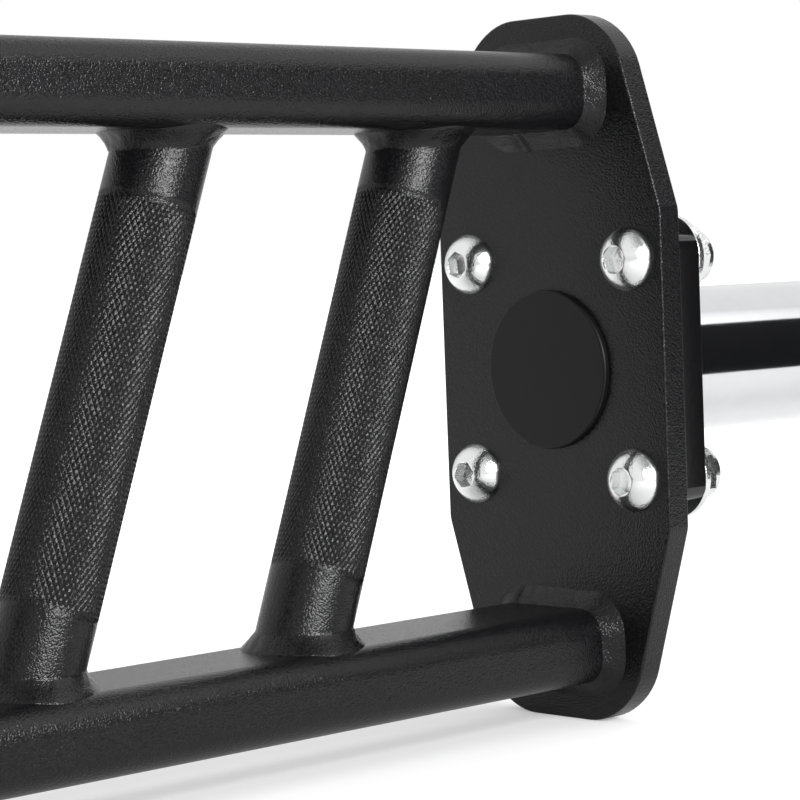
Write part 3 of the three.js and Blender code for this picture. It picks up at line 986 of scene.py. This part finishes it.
def make_nut(side, number):
    place = bolt_places[number - 1]
    start, end = nut_low.x, nut_high.x
    face = nut_width / 2
    hex_end = start + nut_hex_height
    bore = bolt_radius + nut_bore_gap

    def hexagon(angle):
        sixth = full_turn / 6
        return face / math.cos((angle + sixth / 2) % sixth - sixth / 2)

    def level(x, limit, round_only=False):
        def corner(angle):
            radius = limit if round_only else min(hexagon(angle), limit)
            return Vector((x, radius * math.cos(angle), radius * math.sin(angle)))
        return corner

    tip = nut_width / math.sqrt(3)
    chamfer_shares = (0, 0.25, 0.5, 0.75, 1)
    places = [level(start, bore, True)]
    for share in chamfer_shares:
        places.append(level(start + nut_chamfer * share, face + (tip - face) * share))
    for share in reversed(chamfer_shares):
        places.append(level(hex_end - nut_chamfer * share, face + (tip - face) * share))
    collar = nut_collar_radius
    places.append(level(hex_end, collar, True))
    rim_start = end - nut_collar_round
    places.append(level(rim_start, collar, True))
    for i in range(1, nut_round_steps + 1):
        angle = math.pi / 2 * i / nut_round_steps
        radius = collar - nut_collar_round * (1 - math.cos(angle))
        places.append(level(rim_start + nut_collar_round * math.sin(angle), radius, True))
    places.append(level(end, bore, True))
    bm, last = ring_tube(places, nut_segments)
    first = open_rims(bm, last)
    bmesh.ops.bridge_loops(bm, edges=first + last)
    bmesh.ops.recalc_face_normals(bm, faces=bm.faces)
    spin = Matrix.Rotation(math.radians(bolt_turns[number - 1] + nut_turn), 3, "X")
    bmesh.ops.rotate(bm, verts=bm.verts, cent=(0, 0, 0), matrix=spin)
    shifted(bm, place.y, place.z)
    to_side(bm, side)
    new_piece(
        f"collar_lock_nut_{side}_{number}",
        bm,
        "bolt_zinc",
        f"lock_nut_{side}_{number}",
        sharp_angle=28,
    )


# Sleeve and what turns with it

def make_sleeve(side):
    inner = sleeve_radius - sleeve_wall
    bm = turned([
        (inner, sleeve_low.x),
        (sleeve_radius, sleeve_low.x, sleeve_ease),
        (sleeve_radius, sleeve_high.x, sleeve_ease),
        (inner, sleeve_high.x, sleeve_bore_ease),
    ], round_segments)
    shifted(bm, 0, bar_height)
    to_side(bm, side)
    new_piece(f"chromed_sleeve_{side}", bm, "sleeve_chrome", f"sleeve_{side}", body=f"sleeve_{side}")


def make_end_plug(side):
    radius = plug_high.y
    spigot = sleeve_radius - sleeve_wall - plug_gap
    dish = plug_high.x - plug_dish_depth
    bm = turned([
        (0, sleeve_high.x),
        (spigot - plug_wall, sleeve_high.x),
        (spigot - plug_wall, plug_low.x),
        (spigot, plug_low.x),
        (spigot, sleeve_high.x),
        (radius, sleeve_high.x),
        (radius, plug_high.x, plug_edge_round),
        (radius - plug_rim_width, plug_high.x, plug_dish_round),
        (radius - plug_rim_width - plug_rim_slope, dish, plug_dish_round),
        (0, dish),
    ], round_segments, closed=False)
    shifted(bm, 0, bar_height)
    to_side(bm, side)
    new_piece(f"moulded_end_plug_{side}", bm, "cap_plastic", f"end_plug_{side}", body=f"sleeve_{side}")


def make_collar_piece(node, title, slot, side, body="frame"):
    """A plain ring or bush: its own box gives its place, and its bore comes from the axle."""
    low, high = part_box(f"{node}_right")
    outer = high.y
    bore = axle_radius + axle_gap
    profile = [(bore, low.x), (outer, low.x, ring_ease), (outer, high.x, ring_ease), (bore, high.x)]
    bm = turned(profile, small_segments)
    shifted(bm, 0, bar_height)
    to_side(bm, side)
    new_piece(f"{title}_{side}", bm, slot, f"{node}_{side}", body=body)


# Build

for rail_name in ("upper", "lower"):
    make_rail(rail_name)
for half in sides:
    for grip_number in range(1, grip_count + 1):
        make_grip(half, grip_number)
    make_end_plate(half)
    make_cap(half)
    make_sleeve_mount(half)
    for fastener in range(1, bolt_count + 1):
        make_bolt(half, fastener)
        make_washer(half, fastener)
        make_nut(half, fastener)
    make_sleeve(half)
    make_end_plug(half)
    make_collar_piece("thrust_washer", "bronze_thrust_washer", "bushing_bronze", half)
    make_collar_piece("end_washer", "steel_end_washer", "plain_steel", half)
    make_collar_piece("inner_bushing", "bronze_inner_bushing", "bushing_bronze", half, f"sleeve_{half}")
    make_collar_piece("outer_bushing", "bronze_outer_bushing", "bushing_bronze", half, f"sleeve_{half}")
    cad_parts[f"retaining_ring_{half}"].data.materials.clear()
    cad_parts[f"retaining_ring_{half}"].data.materials.append(spring_steel)


# Studio

# Direction of each bright wall, the cosines where it starts and is full, and its strength
room_walls = (
    ((-0.9, 0.43, 0), -0.1, 0.4, 0.68),
    ((0.77, 0.28, 0.57), 0.7, 0.94, 0.65),
    ((0.46, -0.54, 0.7), 0.85, 0.97, 1.35),
)
room_level = 0.25

# The backdrop as mirrors see it: direction, the cosines where it starts and is full, and share of white
backdrop_way = (0.687, 0.726, 0)
backdrop_edge = 0.86
backdrop_full = 0.97
backdrop_share = 0.6

# White added to the paper: near the bar and far from it for the camera, and behind it for mirrors
paper_near = 0.12
paper_far = 0.6
paper_near_lift = 0.32
paper_far_lift = 0.84
paper_behind_start = -0.05
paper_behind_full = 0.3
paper_behind_lift = 0.3
paper_half_size = 30

# The black cards beside the sleeves
flag_inner = 0.625
flag_outer = 2.6
flag_front = -0.16
flag_low = 0.05
flag_high = 0.34

# The photograph's camera, from the fit to the picture. Its angles are in degrees.
camera_sensor = 36
camera_lens = 122.27
camera_place = (-0.164175, -0.621358, 0.155827)
camera_heading = -43.378
camera_dip = 3.0315
camera_roll = -2.1768


def ray_masks(tree):
    """Two masks: rays from the camera, and rays off or through a shiny surface."""
    path = add(tree, "LightPath")
    mirrors = add(
        tree,
        "Math",
        {0: path.outputs["Is Glossy Ray"], 1: path.outputs["Is Transmission Ray"]},
        operation="MAXIMUM",
    )
    return path.outputs["Is Camera Ray"], mirrors.outputs["Value"]


def studio_world():
    """A pale room with soft bright walls, pure white to the camera and in part to mirrors."""
    world = bpy.data.worlds.new("pale studio")
    bpy.context.scene.world = world
    world.use_nodes = True
    tree = world.node_tree
    tree.nodes.clear()
    way = add(tree, "TexCoord").outputs["Generated"]
    level = room_level
    for direction, edge, full, strength in room_walls:
        along = add(tree, "VectorMath", {0: way, 1: direction}, operation="DOT_PRODUCT")
        wall = add(tree, "MapRange", {
            "Value": along.outputs["Value"],
            "From Min": edge,
            "From Max": full,
            "To Min": 0.0,
            "To Max": strength,
        })
        level = add(tree, "Math", {0: level, 1: wall.outputs["Result"]}, operation="ADD").outputs["Value"]
    camera_rays, mirror_rays = ray_masks(tree)
    facing = add(tree, "VectorMath", {0: way, 1: backdrop_way}, operation="DOT_PRODUCT")
    backdrop = add(tree, "MapRange", {
        "Value": facing.outputs["Value"],
        "From Min": backdrop_edge,
        "From Max": backdrop_full,
        "To Min": 0.0,
        "To Max": backdrop_share,
    })
    shown = add(tree, "Math", {0: backdrop.outputs["Result"], 1: mirror_rays}, operation="MULTIPLY")
    white = add(tree, "Math", {0: shown.outputs["Value"], 1: camera_rays}, operation="MAXIMUM")
    seen = add(tree, "Mix", {"Factor": white.outputs["Value"], "A": level, "B": 1.0}, data_type="FLOAT")
    light = add(tree, "Background", {"Color": (1, 1, 1, 1), "Strength": seen.outputs["Result"]})
    add(tree, "OutputWorld", {"Surface": light.outputs["Background"]})


def studio_floor():
    """White paper sweep: matt paper that takes the bar's shadow, lifted to pure white farther away."""
    material, tree = new_material("white paper sweep")
    camera_rays, mirror_rays = ray_masks(tree)
    place = add(tree, "SeparateXYZ", {"Vector": add(tree, "TexCoord").outputs["Object"]})
    across = place.outputs["Y"]
    aside = add(tree, "Math", {0: across}, operation="ABSOLUTE")
    along = add(tree, "Math", {0: place.outputs["X"]}, operation="ABSOLUTE")
    beyond = add(tree, "Math", {0: along.outputs["Value"], 1: sleeve_high.x}, operation="SUBTRACT")
    away = add(tree, "Math", {0: aside.outputs["Value"], 1: beyond.outputs["Value"]}, operation="MAXIMUM")
    around = add(tree, "MapRange", {
        "Value": away.outputs["Value"],
        "From Min": paper_near,
        "From Max": paper_far,
        "To Min": paper_near_lift,
        "To Max": paper_far_lift,
    })
    behind = add(tree, "MapRange", {
        "Value": across,
        "From Min": paper_behind_start,
        "From Max": paper_behind_full,
        "To Min": 0.0,
        "To Max": paper_behind_lift,
    })
    plain = add(tree, "Math", {0: around.outputs["Result"], 1: camera_rays}, operation="MULTIPLY")
    mirrored = add(tree, "Math", {0: behind.outputs["Result"], 1: mirror_rays}, operation="MULTIPLY")
    lift = add(tree, "Math", {0: plain.outputs["Value"], 1: mirrored.outputs["Value"]}, operation="ADD")
    paper = add(tree, "BsdfDiffuse", {"Color": linear("#d8d8d8")})
    white = add(tree, "Emission", {"Color": (1, 1, 1, 1), "Strength": lift.outputs["Value"]})
    both = add(tree, "AddShader", {0: paper.outputs["BSDF"], 1: white.outputs["Emission"]})
    add(tree, "OutputMaterial", {"Surface": both.outputs["Shader"]})
    bm = bmesh.new()
    bmesh.ops.create_grid(bm, x_segments=1, y_segments=1, size=paper_half_size)
    mesh = bpy.data.meshes.new("studio_floor")
    bm.to_mesh(mesh)
    bm.free()
    mesh.materials.append(material)
    floor = bpy.data.objects.new("studio_floor", mesh)
    bpy.context.scene.collection.objects.link(floor)


def dark_flag(name, start, end):
    """A black card that only mirrors see, from one X to another: it gives the chrome its dark band."""
    material, tree = new_material(name)
    black = add(tree, "Emission", {"Color": linear("#1c1c1e"), "Strength": 1.0})
    add(tree, "OutputMaterial", {"Surface": black.outputs["Emission"]})
    bm = bmesh.new()
    corners = ((start, flag_low), (end, flag_low), (end, flag_high), (start, flag_high))
    bm.faces.new([bm.verts.new((x, flag_front, z)) for x, z in corners])
    mesh = bpy.data.meshes.new(name)
    bm.to_mesh(mesh)
    bm.free()
    mesh.materials.append(material)
    flag = bpy.data.objects.new(name, mesh)
    bpy.context.scene.collection.objects.link(flag)
    flag.visible_camera = False
    flag.visible_diffuse = False
    flag.visible_shadow = False
    flag.visible_transmission = False


def soft_box(name, place, target, width, height, power, mirrored=True):
    """An area lamp that looks at its target."""
    lamp = bpy.data.lights.new(name, "AREA")
    lamp.shape = "RECTANGLE"
    lamp.size = width
    lamp.size_y = height
    lamp.energy = power
    holder = bpy.data.objects.new(name, lamp)
    bpy.context.scene.collection.objects.link(holder)
    holder.location = place
    holder.rotation_mode = "QUATERNION"
    holder.rotation_quaternion = (Vector(target) - Vector(place)).to_track_quat("-Z", "Y")
    holder.visible_glossy = mirrored


def photo_camera():
    """The photograph's viewpoint: low in front of the bar, looking towards the right end plate."""
    data = bpy.data.cameras.new("photo camera")
    data.sensor_width = camera_sensor
    data.lens = camera_lens
    data.clip_start = 0.01
    data.clip_end = 50
    camera = bpy.data.objects.new("photo camera", data)
    bpy.context.scene.collection.objects.link(camera)
    heading = Matrix.Rotation(math.radians(camera_heading), 4, "Z")
    dip = Matrix.Rotation(math.radians(90 - camera_dip), 4, "X")
    roll = Matrix.Rotation(math.radians(camera_roll), 4, "Z")
    camera.matrix_world = Matrix.Translation(camera_place) @ heading @ dip @ roll
    bpy.context.scene.camera = camera


studio_world()
studio_floor()
dark_flag("dark_flag_right", flag_inner, flag_outer)
dark_flag("dark_flag_left", -flag_outer, -flag_inner)
soft_box(
    "overhead soft box",
    place=(0.6, 0.5, 1.4),
    target=(0.3, 0, 0.1),
    width=1.6,
    height=0.9,
    power=6,
    mirrored=False,
)
soft_box(
    "front soft box",
    place=(0.26, -1.3, 0.6),
    target=(0.4, 0, 0.12),
    width=0.9,
    height=0.5,
    power=27,
)
photo_camera()
bpy.context.scene.view_settings.view_transform = "Standard"
